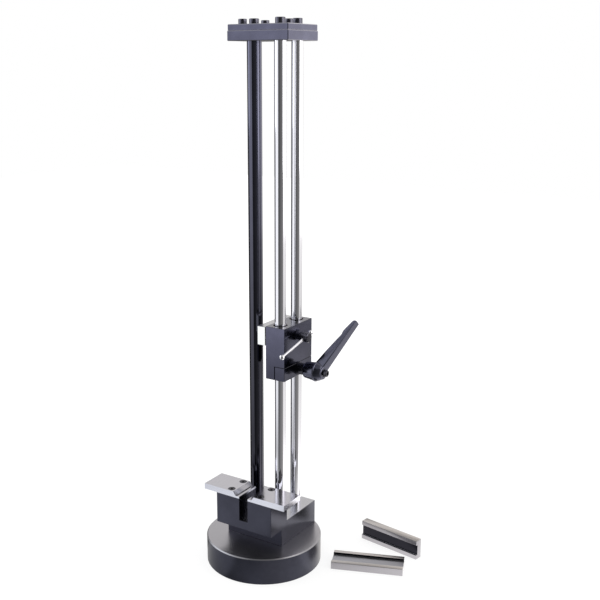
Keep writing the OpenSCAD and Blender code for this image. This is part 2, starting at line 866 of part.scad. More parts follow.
// Jaw bar lying flat: length along X, groove upwards, its edges lightly chamfered
module jaw_bar(l, w, t, groove) {
    c = bar_chamfer;
    g0 = (w - groove) / 2;
    g1 = (w + groove) / 2;
    section = [
        [c, 0], [w - c, 0], [w, c], [w, t - c], [w - c, t], [g1, t], [g1, t - groove_depth],
        [g0, t - groove_depth], [g0, t], [c, t], [0, t - c], [0, c]
    ];
    color(ground_steel)
        rotate([90, 0, 90]) linear_extrude(l) polygon(section);
}

module narrow_jaw_bar() {
    translate([narrow_x, narrow_y, 0])
        rotate([0, 0, narrow_turn])
            translate([0, narrow_t, 0])
                rotate([90, 0, 0]) jaw_bar(narrow_l, narrow_w, narrow_t, narrow_groove);
}

module wide_jaw_bar() {
    translate([wide_x, wide_y, 0])
        rotate([0, 0, wide_turn]) jaw_bar(wide_l, wide_w, wide_t, wide_groove);
}

base_disc();
disc_screws();
base_block();
front_block();
front_block_screws();
left_anvil_plate();
right_anvil_plate();
left_plate_screws();
right_plate_screws();
front_guide_rod();
rear_guide_rod();
support_column();
tower_foot_screws();
lower_top_plate();
upper_top_plate();
tower_top_screws();
top_tie_screws();
carriage_block();
carriage_bushes();
clamp_jaw();
lever_washer();
lever_stud();
lever_handle();
lever_spring();
lever_screw();
pressure_jaw();
jaw_guide_pins();
jaw_retaining_pin();
tee_screw();
tommy_bar();
tommy_bar_balls();
narrow_jaw_bar();
wide_jaw_bar();
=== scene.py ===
"""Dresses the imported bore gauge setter: finishes, detailed screws, lever and spring, studio and camera.

Every length is in metres in the CAD frame: X to the right along the front, Y to the back, Z up.
"""
import logging
import math
from dataclasses import dataclass, field
from enum import Enum
from typing import Any, Callable, Union

import bpy
import numpy as np
from mathutils import Matrix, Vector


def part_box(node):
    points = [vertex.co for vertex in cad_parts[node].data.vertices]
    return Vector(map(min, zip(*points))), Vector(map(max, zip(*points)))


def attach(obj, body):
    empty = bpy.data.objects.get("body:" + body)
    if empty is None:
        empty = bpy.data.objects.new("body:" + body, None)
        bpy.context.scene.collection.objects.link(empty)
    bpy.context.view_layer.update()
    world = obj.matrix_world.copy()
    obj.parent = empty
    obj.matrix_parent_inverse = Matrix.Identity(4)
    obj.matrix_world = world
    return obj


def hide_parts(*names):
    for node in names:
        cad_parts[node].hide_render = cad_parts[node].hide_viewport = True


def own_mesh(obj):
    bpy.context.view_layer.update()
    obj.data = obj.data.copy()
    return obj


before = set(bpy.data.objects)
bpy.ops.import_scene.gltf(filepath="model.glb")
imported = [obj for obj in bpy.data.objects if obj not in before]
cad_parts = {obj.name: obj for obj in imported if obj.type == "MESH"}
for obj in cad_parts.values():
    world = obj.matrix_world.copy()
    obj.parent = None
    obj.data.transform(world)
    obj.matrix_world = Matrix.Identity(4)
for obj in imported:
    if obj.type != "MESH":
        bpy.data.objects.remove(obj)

LOG = logging.getLogger("setter")
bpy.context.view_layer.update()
MM = 0.001
# Keeps a heading finite at the origin
TINY = 1e-6
# Greatest angle between faces that are shaded as one surface, in degrees
SMOOTH_ANGLE = 32.0
# Points in a screw's ridge, round the lever's hub and its arm, in a spring's turn and round its wire
RIDGE_POINTS, HUB_POINTS, ARM_POINTS, TURN_POINTS, WIRE_POINTS = 6, 96, 72, 28, 12
# Sections of the lever's arm before its tip and at it
ARM_SECTIONS, TIP_SECTIONS = 45, 16

Vec3 = tuple[float, float, float]
Colour = tuple[float, float, float]
Pair = tuple[float, float]
Steps = tuple[Pair, ...]
Placement = Callable[[np.ndarray], np.ndarray]
Setting = Union[float, Vec3, tuple, "Value"]


class Axis(Enum):
    """The row axis along which a piece or a grain runs."""

    X = 0
    Y = 1
    Z = 2


def operator(operation: str, swapped: bool = False) -> Callable[["Value", Setting], "Value"]:
    """Operator of a value that adds a Math node, with the other operand first where it is swapped."""
    return lambda value, other: value.math(operation, *((other, value) if swapped else (value, other)))


class Value:
    """A shader socket that takes part in Python arithmetic, one Math node for each operation."""

    def __init__(self, graph: "Graph", socket: bpy.types.NodeSocket) -> None:
        """Wraps an output socket of a graph."""
        self.graph = graph
        self.socket = socket

    def math(self, operation: str, *operands: Setting) -> "Value":
        """Output of a new Math node with the given operation and inputs, in order."""
        return self.graph.node("Math", {"operation": operation}, dict(enumerate(operands)))

    __add__, __radd__ = operator("ADD"), operator("ADD", swapped=True)
    __sub__, __rsub__ = operator("SUBTRACT"), operator("SUBTRACT", swapped=True)
    __mul__, __rmul__ = operator("MULTIPLY"), operator("MULTIPLY", swapped=True)
    __truediv__, __pow__ = operator("DIVIDE"), operator("POWER")

    def __abs__(self) -> "Value":
        """Absolute value."""
        return self.math("ABSOLUTE", self)

    def part(self, output: str) -> "Value":
        """Another output of the same node, by name."""
        return Value(self.graph, self.socket.node.outputs[output])

    def band(self, low: float, high: float) -> "Value":
        """Mask that leaves 0 where the value is low and reaches 1 in a smooth step where it is high."""
        settings = {"interpolation_type": "SMOOTHSTEP"}
        return self.graph.node("MapRange", settings, {0: self, 1: low, 2: high, 3: 0.0, 4: 1.0})


class Graph:
    """Builds the nodes of one material or world from plain calls."""

    def __init__(self, tree: bpy.types.NodeTree) -> None:
        """Empties the node tree that is to be filled."""
        self.tree = tree
        tree.nodes.clear()

    def node(self, kind: str, settings: dict[str, Any], inputs: dict[Any, Setting], out: Any = 0) -> Value:
        """Adds a node: its settings first, then the values and links of its sockets.

        Args:
            kind: the node's type, after its prefix ShaderNode.
            settings: attributes of the node, such as a Math node's operation; "stops" fills a ramp.
            inputs: values or links by the socket's index or name.
            out: the output that is returned, by index or name.

        Returns:
            The chosen output.
        """
        made = self.tree.nodes.new("ShaderNode" + kind)
        for name, value in settings.items():
            if name == "stops":
                self._fill_ramp(made.color_ramp, value)
            else:
                setattr(made, name, value)
        for key, value in inputs.items():
            if isinstance(value, Value):
                self.tree.links.new(value.socket, made.inputs[key])
            else:
                made.inputs[key].default_value = value
        return Value(self, made.outputs[out]) if len(made.outputs) else Value(self, made.inputs[0])

    @staticmethod
    def _fill_ramp(ramp: bpy.types.ColorRamp, stops: list[tuple[float, Colour]]) -> None:
        """Gives a colour ramp its stops.

        Args:
            ramp: the ramp, which holds two stops when new.
            stops: position and colour of each stop.
        """
        while len(ramp.elements) < len(stops):
            ramp.elements.new(0.5)
        for element, (position, colour) in zip(ramp.elements, stops):
            element.position = position
            element.color = (*colour, 1.0)

    def place(self, scale: Vec3 = (1.0, 1.0, 1.0)) -> Value:
        """Object coordinates, times factors along X, Y and Z."""
        where = self.node("TexCoord", {}, {}, "Object")
        return self.node("Mapping", {}, {"Vector": where, "Scale": scale})

    def direction(self) -> Value:
        """Direction of the ray, in a world's graph."""
        return self.node("TexCoord", {}, {}, "Generated")

    def split(self, where: Value) -> Value:
        """X of a place or direction; its part gives Y and Z."""
        return self.node("SeparateXYZ", {}, {0: where})

    def distance(self, where: Value) -> Value:
        """Distance of a place from the origin."""
        return self.node("VectorMath", {"operation": "LENGTH"}, {0: where}, "Value")

    def ray(self) -> Value:
        """1 for what the camera sees directly; its part gives the other kinds of ray."""
        return self.node("LightPath", {}, {}, "Is Camera Ray")

    def noise(self, where: Value, scale: float, detail: float = 2.0, roughness: float = 0.5) -> Value:
        """Fractal noise about 0.5: cells per metre, octaves beyond the first, the share that each passes on."""
        inputs = {"Vector": where, "Scale": scale, "Detail": detail, "Roughness": roughness}
        return self.node("TexNoise", {}, inputs)

    def blend(self, mask: Setting, low: Setting, high: Setting) -> Value:
        """Mixes two colours.

        Args:
            mask: 0 for the first colour, 1 for the second.
            low: the first colour.
            high: the second colour.

        Returns:
            The mixed colour.
        """
        first = low if isinstance(low, Value) else (*low, 1.0)
        second = high if isinstance(high, Value) else (*high, 1.0)
        return self.node("Mix", {"data_type": "RGBA"}, {0: mask, 6: first, 7: second}, 2)

    def scaled(self, colour: Value, level: Value) -> Value:
        """A colour times a level."""
        return self.node("VectorMath", {"operation": "SCALE"}, {0: colour, "Scale": level})

    def upward(self) -> Value:
        """How much the face looks up in the piece's own frame: 1 on a level top, 0 on a wall."""
        normal = self.node("TexCoord", {}, {}, "Normal")
        return self.split(normal).part("Z")

    def heading(self, where: Value, toward: Vec3) -> Value:
        """Cosine, seen from above, between a place or direction and a heading, which is a level unit vector."""
        x = self.split(where)
        return (x * toward[0] + x.part("Y") * toward[1]) * (x * x + x.part("Y") * x.part("Y") + TINY) ** -0.5

    def bump(self, height: Value, depth: float, strength: float = 1.0) -> Value:
        """Normal bent by a height of 0 to 1, where 1 stands for the depth in metres."""
        inputs = {"Height": height, "Distance": depth, "Strength": strength}
        return self.node("Bump", {}, inputs)

    def surface(self, inputs: dict[str, Setting]) -> None:
        """Ends the graph in a Principled surface, with the shader's sockets given by name."""
        shader = self.node("BsdfPrincipled", {}, inputs)
        self.node("OutputMaterial", {}, {"Surface": shader})


# Stretch of the coordinates along the scratches of a grain, and the one that draws noise out into rings about Z
GRAIN_STRETCH = 0.02
RING_SCALE = (0.05, 0.05, 1.0)
# Upward share of a face's normal: from wall to level top, and where the machined chamfers begin and end; they
# place the painted light on blackened tops and the painted edge tone on chamfers
OXIDE_TOP = (0.8, 0.95)
RIM_START, RIM_END = (0.3, 0.6), (0.85, 0.97)
# The same on ground steel: from wall to bevel, and from bevel to level top; they place its painted light and
# shade
STEEL_BEVEL, STEEL_TOP = (0.35, 0.65), (0.8, 0.93)
# Noise at which the paler patches of blackened walls begin and end
CLOUDING = (0.35, 0.75)


def grain_scale(axis: Axis) -> Vec3:
    """Stretch of the coordinates that turns round noise into scratches along one axis."""
    return tuple(GRAIN_STRETCH if axis.value == k else 1.0 for k in range(3))


def shade(colour: Colour, factor: float) -> Colour:
    """A colour times a factor."""
    return tuple(part * factor for part in colour)


@dataclass(frozen=True)
class Finish:
    """A surface finish. Each kind fills a node graph in its own way.

    Attributes:
        name: the material's name.
        slot: the record's material slot; not used.
    """

    name: str
    slot: str

    def fill(self, graph: Graph) -> None:
        """Fills the material's empty graph; each kind of finish has its own."""
        raise NotImplementedError

    def material(self) -> bpy.types.Material:
        """Makes the material, or returns it if it exists.

        Returns:
            The Blender material.
        """
        found = bpy.data.materials.get(self.name)
        if found is not None:
            return found
        made = bpy.data.materials.new(self.name)
        made.use_nodes = True
        self.fill(Graph(made.node_tree))
        return made


@dataclass(frozen=True)
class BlackOxide(Finish):
    """Blackened machined steel: dark and oily on its walls, with paler tops that are painted light.

    Attributes:
        tint: reflectance of the walls.
        shaded_low_tint: reflectance of the walls at the lower end of the fade; where darker than the tint, it
            is painted shade lower down.
        fade: heights between which the walls go from the one to the other.
        top: reflectance of the level tops, paler than the walls: painted light on faces that look up.
        painted_rim: colour of the machined chamfers, a painted edge tone: painted highlight where it is paler
            than the walls, painted shade where it is darker.
        gloss: mean roughness of the walls.
        top_gloss: roughness that the tops have beyond that.
        grain: direction of the tool marks.
        paler: how much paler the clouds in the walls are.
        worn: how much darker the marks in the tops are.
        spread: roughness that the clouds and the tool marks add.
    """

    tint: Colour = (0.055, 0.057, 0.078)
    shaded_low_tint: Colour = (0.055, 0.057, 0.078)
    fade: Pair = (0.2, 0.27)
    top: Colour = (0.4, 0.4, 0.42)
    painted_rim: Colour = (0.16, 0.16, 0.18)
    gloss: float = 0.09
    top_gloss: float = 0.08
    grain: Axis = Axis.X
    paler: float = 1.25
    worn: float = 0.84
    spread: Pair = (0.07, 0.03)

    def fill(self, graph: Graph) -> None:
        """Fills the graph.

        Args:
            graph: the empty graph of the material.
        """
        where = graph.place()
        cloud = graph.noise(where, scale=45.0, detail=4.0, roughness=0.6)
        marks = graph.noise(graph.place(grain_scale(self.grain)), scale=5200.0)
        rise = graph.upward()
        up = rise.band(*OXIDE_TOP)
        # Walls go darker towards their lower end: painted shade.
        high = graph.split(where).part("Z").band(*self.fade)
        dark = graph.blend(high, self.shaded_low_tint, self.tint)
        pale = graph.blend(high, shade(self.shaded_low_tint, self.paler), shade(self.tint, self.paler))
        walls = graph.blend(cloud.band(*CLOUDING), dark, pale)
        # Tops paler than the walls: painted light, with darker tool marks in it.
        tops = graph.blend(0.6 * marks + 0.4 * cloud, shade(self.top, self.worn), self.top)
        slope = abs(rise)
        # Chamfers take the painted edge tone: a painted highlight where paler than the walls, a painted shade
        # where darker.
        edged = graph.blend(slope.band(*RIM_START) - slope.band(*RIM_END), walls, self.painted_rim)
        graph.surface({
            "Base Color": graph.blend(up, edged, tops),
            "Metallic": 1.0,
            "Roughness": self.gloss + self.spread[0] * cloud + self.spread[1] * marks + self.top_gloss * up,
            "Normal": graph.bump(marks, depth=2e-6, strength=0.4),
        })


@dataclass(frozen=True)
class GroundSteel(Finish):
    """Bare steel from a surface grinder: fine parallel scratches and a soft sheen.

    Attributes:
        tint: reflectance of the walls.
        top: reflectance of the level tops; its difference from the walls' is painted light and shade.
        gloss: mean roughness.
        grain: direction of the grinding scratches.
        bevel: share of the tops' reflectance that the bevels have, darker: painted shade on the bevels.
        dull_wall: share of it that the scratches in the walls leave.
        dull_top: the same in the tops.
        spread: roughness that the scratches add.
    """

    tint: Colour = (0.72, 0.72, 0.75)
    top: Colour = (0.5, 0.5, 0.52)
    gloss: float = 0.16
    grain: Axis = Axis.Y
    bevel: float = 0.5
    dull_wall: float = 0.86
    dull_top: float = 0.82
    spread: float = 0.1

    def fill(self, graph: Graph) -> None:
        """Fills the graph.

        Args:
            graph: the empty graph of the material.
        """
        where = graph.place(grain_scale(self.grain))
        fine = graph.noise(where, scale=4200.0, detail=3.0, roughness=0.6)
        wide = graph.noise(where, scale=600.0)
        rise = graph.upward()
        up, level = rise.band(*STEEL_BEVEL), rise.band(*STEEL_TOP)
        # Walls, bevels and tops each get their own reflectance: painted light and shade by the way a face
        # looks.
        bevel = shade(self.top, self.bevel)
        full = graph.blend(up, self.tint, graph.blend(level, bevel, self.top))
        dull_top = graph.blend(level, bevel, shade(self.top, self.dull_top))
        dull = graph.blend(up, shade(self.tint, self.dull_wall), dull_top)
        graph.surface({
            "Base Color": graph.blend(0.5 * fine + 0.5 * wide, dull, full),
            "Metallic": 1.0,
            "Roughness": self.gloss + self.spread * fine,
            "Normal": graph.bump(fine, depth=3e-6, strength=0.5),
        })


@dataclass(frozen=True)
class Chrome(Finish):
    """Polished hard chrome, with a trace of circular polishing marks.

    Attributes:
        tint: base colour.
        gloss: mean roughness.
        dull: share of the base colour that the haze leaves.
        spread: roughness that the polishing marks and the haze add.
    """

    tint: Colour = (0.78, 0.785, 0.84)
    gloss: float = 0.05
    dull: float = 0.95
    spread: Pair = (0.04, 0.03)

    def fill(self, graph: Graph) -> None:
        """Fills the graph.

        Args:
            graph: the empty graph of the material.
        """
        polish = graph.noise(graph.place(RING_SCALE), scale=2500.0)
        haze = graph.noise(graph.place(), scale=30.0, detail=3.0)
        graph.surface({
            "Base Color": graph.blend(haze, shade(self.tint, self.dull), self.tint),
            "Metallic": 1.0,
            "Roughness": self.gloss + self.spread[0] * polish + self.spread[1] * haze,
            "Normal": graph.bump(polish, depth=1e-6, strength=0.3),
        })


@dataclass(frozen=True)
class Coating(Finish):
    """Dark coating: a painted, blackened or cast skin with a fine texture.

    Attributes:
        tint: base colour.
        shaded_low_tint: base colour at the lower end of the fade; where darker than the tint, it is painted
            shade lower down.
        fade: heights between which the skin goes from the one to the other.
        gloss: mean roughness.
        metal: metallic share.
        grit: cells of texture per metre.
        relief: height of the texture in metres.
        paler: how much paler the clouds in the skin are.
        spread: roughness that the clouds and the texture add.
    """

    tint: Colour = (0.03, 0.03, 0.035)
    shaded_low_tint: Colour = (0.03, 0.03, 0.035)
    fade: Pair = (0.18, 0.3)
    gloss: float = 0.3
    metal: float = 0.0
    grit: float = 2600.0
    relief: float = 8e-6
    paler: float = 1.3
    spread: Pair = (0.08, 0.05)

    def fill(self, graph: Graph) -> None:
        """Fills the graph.

        Args:
            graph: the empty graph of the material.
        """
        where = graph.place()
        fine = graph.noise(where, self.grit, detail=3.0, roughness=0.6)
        cloud = graph.noise(where, scale=60.0, detail=3.0)
        # The skin goes darker towards its lower end: painted shade.
        high = graph.split(where).part("Z").band(*self.fade)
        skin = graph.blend(high, self.shaded_low_tint, self.tint)
        pale = graph.blend(high, shade(self.shaded_low_tint, self.paler), shade(self.tint, self.paler))
        graph.surface({
            "Base Color": graph.blend(cloud, skin, pale),
            "Metallic": self.metal,
            "Roughness": self.gloss + self.spread[0] * cloud + self.spread[1] * fine,
            "Normal": graph.bump(fine, self.relief, strength=0.6),
        })


@dataclass(frozen=True)
class Palette:
    """Every finish of the setter."""

    # Disc: paler top (painted light) and paler chamfer (painted edge highlight).
    disc: Finish = BlackOxide(
        "disc black oxide", "black_oxide", top=(0.47, 0.46, 0.49), painted_rim=(0.26, 0.26, 0.28), gloss=0.25,
        top_gloss=0.02)
    # Blocks: paler tops, painted light.
    block: Finish = BlackOxide(
        "block black oxide", "black_oxide", top=(0.5, 0.5, 0.53), gloss=0.145, top_gloss=0.05)
    # Top plates paler than the black oxide lower down: painted light high up, with bright chamfers as painted
    # edge highlight.
    plates: Finish = BlackOxide(
        "top plate black oxide", "black_oxide", (0.1, 0.102, 0.15), (0.1, 0.102, 0.15), painted_rim=(0.4, 0.4, 0.46),
        grain=Axis.Y)
    # Carriage: walls darker lower down (painted shade), paler tops (painted light) and darker chamfers (painted
    # edge shade).
    carriage: Finish = BlackOxide(
        "carriage black oxide", "black_oxide", (0.1, 0.102, 0.15), (0.052, 0.053, 0.076), top=(0.17, 0.17, 0.2),
        painted_rim=(0.03, 0.03, 0.04), gloss=0.12, grain=Axis.Z)
    # Column darker towards its foot: painted shade.
    column: Finish = Coating(
        "column polished black", "gloss_black", (0.088, 0.09, 0.126), (0.05, 0.05, 0.064), (0.18, 0.5),
        gloss=0.05, metal=1.0, relief=5e-7)
    # Ground steel whose walls and tops differ: painted light and shade by the way a face looks.
    anvil: Finish = GroundSteel(
        "anvil ground steel", "ground_steel", (0.8, 0.82, 0.92), (0.485, 0.477, 0.515), 0.1)
    jaw: Finish = GroundSteel("jaw ground steel", "ground_steel", (0.97, 1.0, 1.0))
    bars: Finish = GroundSteel(
        "bar ground steel", "ground_steel", (0.32, 0.315, 0.345), (0.56, 0.53, 0.52), 0.24, Axis.X)
    # Groove: real black oxide, darker than elsewhere as painted shade in the recess; its faces that look up are
    # paler, painted light.
    groove: Finish = BlackOxide(
        "groove black oxide", "black_oxide", shaded_low_tint=(0.017, 0.017, 0.023), top=(0.4, 0.4, 0.44), gloss=0.2)
    rods: Finish = Chrome("rod hard chrome", "bright_chrome")
    tommy: Finish = Chrome("tommy bar chrome", "bright_chrome")
    # Screws lower down are darker: painted shade.
    screws: Finish = Coating(
        "screw black", "screw_black", (0.09, 0.09, 0.115), (0.05, 0.05, 0.06), gloss=0.16, metal=1.0,
        relief=1e-6)
    lever: Finish = Coating(
        "lever satin black", "satin_black", (0.095, 0.098, 0.135), (0.095, 0.098, 0.135), gloss=0.07, metal=1.0,
        grit=1800.0, relief=5e-6)
    steel: Finish = GroundSteel(
        "spring and pin steel", "spring_steel", (0.6, 0.6, 0.62), (0.6, 0.6, 0.62), 0.22, Axis.X)
    bronze: Finish = GroundSteel(
        "bearing bronze", "bronze", (0.55, 0.38, 0.19), (0.55, 0.38, 0.19), 0.3, Axis.Z)


PALETTE = Palette()


def dress(finish: Finish, *nodes: str) -> None:
    """Gives CAD nodes a finish.

    Args:
        finish: the finish.
        nodes: names of the nodes.
    """
    for name in nodes:
        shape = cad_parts[name]
        shape.data.materials.clear()
        shape.data.materials.append(finish.material())
        LOG.info("dressed %s in %s", name, finish.name)


def put(name: str, data: bpy.types.ID) -> bpy.types.Object:
    """Makes an object and links it to the scene.

    Args:
        name: the object's name.
        data: its mesh, lamp or camera.

    Returns:
        The object.
    """
    made = bpy.data.objects.new(name, data)
    bpy.context.scene.collection.objects.link(made)
    return made


def about_z(degrees: float) -> np.ndarray:
    """Matrix of a turn about +Z."""
    c, s = math.cos(math.radians(degrees)), math.sin(math.radians(degrees))
    return np.array([[c, -s, 0], [s, c, 0], [0, 0, 1]])


def grid_faces(rows: int, columns: int, wrap: bool = False) -> np.ndarray:
    """Quads of a grid of points stored row by row, each row joined to its own start.

    Args:
        rows: number of rows.
        columns: number of points in a row.
        wrap: whether the last row joins the first one.

    Returns:
        An array of four vertex numbers for each face.
    """
    i, j = np.meshgrid(np.arange(rows if wrap else rows - 1), np.arange(columns), indexing="ij")
    after, aside = (i + 1) % rows * columns, (j + 1) % columns
    return np.stack([i * columns + j, i * columns + aside, after + aside, after + j], axis=-1).reshape(-1, 4)


@dataclass
class Shape:
    """A mesh in the making: points and faces, gathered from several surfaces.

    Attributes:
        points: arrays of points so far.
        faces: lists of vertex numbers so far.
        count: number of points so far.
    """

    points: list[np.ndarray] = field(default_factory=list)
    faces: list[list[int]] = field(default_factory=list)
    count: int = 0

    def grid(self, points: np.ndarray, wrap: bool = False) -> "Shape":
        """Adds a surface that is a stack of closed rings: its ends are closed by one face each, or joined.

        Args:
            points: array of rings x points x 3, wound so that faces look outwards.
            wrap: whether the last ring joins the first one.

        Returns:
            This shape.
        """
        rows, columns = points.shape[:2]
        quads = grid_faces(rows, columns, wrap) + self.count
        self.faces.extend(quads.tolist())
        if not wrap:
            first = np.arange(columns) + self.count
            self.faces.append(first[::-1].tolist())
            self.faces.append((first + (rows - 1) * columns).tolist())
        self.points.append(points.reshape(-1, 3))
        self.count += rows * columns
        return self

    def build(self, name: str, finish: Finish, place: Placement) -> bpy.types.Object:
        """Turns the shape into an object at the origin.

        Args:
            name: the object's name.
            finish: its finish.
            place: moves the points from the shape's own frame to the row frame.

        Returns:
            The object.
        """
        points = place(np.concatenate(self.points))
        mesh = bpy.data.meshes.new(name)
        mesh.from_pydata(points.tolist(), [], self.faces)
        mesh.materials.append(finish.material())
        mesh.validate()
        made = put(name, mesh)
        mesh.shade_smooth()
        mesh.set_sharp_from_angle(angle=math.radians(SMOOTH_ANGLE))
        LOG.info("made %s with %d faces", name, len(mesh.polygons))
        return made


def rings(profile: list[Pair], radius: Callable[[np.ndarray, np.ndarray], np.ndarray],
          turn: np.ndarray) -> np.ndarray:
    """Surface of revolution about +Z: the point at turn t of station (r, z) is (f cos t, f sin t, z).

    Args:
        profile: radius and height of each station.
        radius: gives f from the station's radius and the turn.
        turn: angles round the axis, in radians.

    Returns:
        An array of stations x turns x 3.
    """
    stations = np.asarray(profile, float)
    t, r = np.meshgrid(turn, stations[:, 0])
    z = np.repeat(stations[:, 1][:, None], len(turn), axis=1)
    f = radius(r, t)
    return np.stack([f * np.cos(t), f * np.sin(t), z], axis=-1)


def round_ring(r: np.ndarray, turn: np.ndarray) -> np.ndarray:
    """Plain round ring."""
    return r


def along(axis: Vec3, origin: Vec3) -> Placement:
    """Placement that lays a shape's +Z along an axis and moves its origin.

    Args:
        axis: direction of +Z, a unit vector.
        origin: where the shape's origin goes.

    Returns:
        A function of an array of points.
    """
    z = np.asarray(axis, float)
    helper = np.array([0.0, 0.0, 1.0]) if abs(z[2]) < 0.9 else np.array([1.0, 0.0, 0.0])
    x = np.cross(helper, z)
    x /= np.linalg.norm(x)
    turn = np.stack([x, np.cross(z, x), z])
    return lambda points: points @ turn + np.asarray(origin, float)


@dataclass(frozen=True)
class CapScrew:
    """Socket cap screw with a knurled head, a broken edge and a hexagon socket.

    Attributes:
        thread: thread diameter.
        length: length below the head.
        knurls: number of ridges round the head.
        ridge: depth of the ridges, as a share of the head's radius.
        edge: size of the head's rounded edges, as a share of it.
        socket: height of the socket's floor, as a share of the head's.
    """

    thread: float
    length: float
    knurls: int = 40
    ridge: float = 0.006
    edge: float = 0.09
    socket: float = 0.45

    @property
    def head_radius(self) -> float:
        """Radius of the head."""
        return (1.5 * self.thread + 1 * MM) / 2

    def add(self, shape: Shape, place: Placement) -> None:
        """Adds one screw, with its seat at the origin of the given placement.

        The ridges are r (1 - ridge * |sin(knurls * t / 2)|^0.7) at the head's full radius, and fade out
        towards its edges. The socket's ring is the polar form of a hexagon: apothem / cos of the angle from
        the nearest flat's middle.

        Args:
            shape: receives the surface.
            place: moves it into the row frame.
        """
        r, h = self.head_radius, self.thread
        turn = np.linspace(0, 2 * math.pi, self.knurls * RIDGE_POINTS, endpoint=False)
        ridge, edge = self.ridge * r, self.edge * r
        apothem = (self.thread - 1 * MM) / 2
        shank = self.thread / 2

        def knurled(radius: np.ndarray, t: np.ndarray) -> np.ndarray:
            """Ring with ridges at the head's full radius."""
            full = radius > r - 1e-7
            return radius - ridge * full * np.abs(np.sin(self.knurls * t / 2)) ** 0.7

        def hexagon(radius: np.ndarray, t: np.ndarray) -> np.ndarray:
            """Hexagonal ring whose flats lie at the given distance from the axis."""
            sector = np.mod(t, math.pi / 3) - math.pi / 6
            return radius / np.cos(sector)

        floor = self.socket * h
        body = [(shank * 0.86, -self.length), (shank, -self.length + 0.6 * MM), (shank, -0.3 * MM),
                (shank * 1.06, 0.0), (r - edge, 0.0), (r, edge), (r, h * 0.5), (r, h - 1.6 * edge),
                (r - 0.35 * edge, h - 0.7 * edge), (r - edge, h - 0.15 * edge), (r - 1.6 * edge, h)]
        outer = rings(body, knurled, turn)
        mouth = rings([(apothem * 1.12, h)], round_ring, turn)
        socket = rings([(apothem, h - 0.12 * apothem), (apothem, floor)], hexagon, turn)
        drill = rings([(apothem * 0.55, floor - 0.2 * apothem), (apothem * 0.02, floor - 0.42 * apothem)],
                      round_ring, turn)
        solid = np.concatenate([outer, mouth, socket, drill])
        shape.grid(place(solid.reshape(-1, 3)).reshape(solid.shape))


def mid(node: str) -> np.ndarray:
    """Middle of a CAD node's box."""
    low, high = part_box(node)
    return (np.array(low) + np.array(high)) / 2


def screw_group(name: str, node: str, body: str, screw: CapScrew, axis: Vec3, seats: list[Vec3]) -> None:
    """Makes a group of cap screws that replaces a node.

    Args:
        name: the piece's name.
        node: the CAD node that it replaces.
        body: the body that it rides on.
        screw: the screw's sizes.
        axis: direction from the shank to the head.
        seats: where the undersides of the heads lie.
    """
    shape = Shape()
    for seat in seats:
        screw.add(shape, along(axis, seat))
    made = shape.build(name, PALETTE.screws, lambda points: points)
    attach(made, body)
    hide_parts(node)


@dataclass
class Base:
    """The disc, the base block, the front block and the two anvil plates."""

    tower_thread: float = 6 * MM
    plate_thread: float = 4 * MM

    def build(self) -> None:
        """Builds and dresses the base."""
        dress(PALETTE.disc, "base_disc")
        dress(PALETTE.block, "base_block", "front_block")
        dress(PALETTE.anvil, "left_anvil_plate", "right_anvil_plate")
        dress(PALETTE.screws, "front_block_screws", "tower_foot_screws")
        self._disc_screws()
        for side in ("left", "right"):
            self._plate_screws(side)

    def _corners(self, node: str, radius: float) -> tuple[list[float], list[float]]:
        """The two X and the two Y places of an upright group's outermost screws, from their heads' radius."""
        low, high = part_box(node)
        return [low.x + radius, high.x - radius], [low.y + radius, high.y - radius]

    def _disc_screws(self) -> None:
        """Screws that come up from under the disc."""
        low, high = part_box("disc_screws")
        screw = CapScrew(self.tower_thread, high.z - low.z - self.tower_thread)
        xs, ys = self._corners("disc_screws", screw.head_radius)
        seats = [(x, y, low.z + screw.thread) for x in xs for y in ys]
        screw_group("disc_cap_screws", "disc_screws", "root", screw, (0, 0, -1), seats)

    def _plate_screws(self, side: str) -> None:
        """Screws sunk in one anvil plate.

        Args:
            side: left or right.
        """
        node = f"{side}_plate_screws"
        low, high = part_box(node)
        screw = CapScrew(self.plate_thread, high.z - low.z - self.plate_thread, 32)
        ys = self._corners(node, screw.head_radius)[1]
        seats = [(mid(node)[0], y, high.z - screw.thread) for y in ys]
        screw_group(f"{side}_plate_cap_screws", node, "root", screw, (0, 0, 1), seats)


@dataclass
class Tower:
    """The rods, the column and the double top plate with its screws."""

    post_thread: float = 6 * MM
    tie_thread: float = 5 * MM

    def build(self) -> None:
        """Builds and dresses the tower."""
        dress(PALETTE.rods, "front_guide_rod", "rear_guide_rod")
        dress(PALETTE.column, "support_column")
        dress(PALETTE.plates, "lower_top_plate", "upper_top_plate")
        low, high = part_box("tower_top_screws")
        screw = CapScrew(self.post_thread, high.z - low.z - self.post_thread)
        posts = [mid(node) for node in ("front_guide_rod", "rear_guide_rod", "support_column")]
        seats = [(post[0], post[1], high.z - screw.thread) for post in posts]
        screw_group("post_cap_screws", "tower_top_screws", "root", screw, (0, 0, 1), seats)
        low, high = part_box("top_tie_screws")
        screw = CapScrew(self.tie_thread, high.z - low.z - self.tie_thread, 36)
        r = screw.head_radius
        places = [(low.x + r, low.y + r), (low.x + r, high.y - r), (high.x - r, (low.y + high.y) / 2)]
        seats = [(x, y, high.z - screw.thread) for x, y in places]
        screw_group("tie_cap_screws", "top_tie_screws", "root", screw, (0, 0, 1), seats)


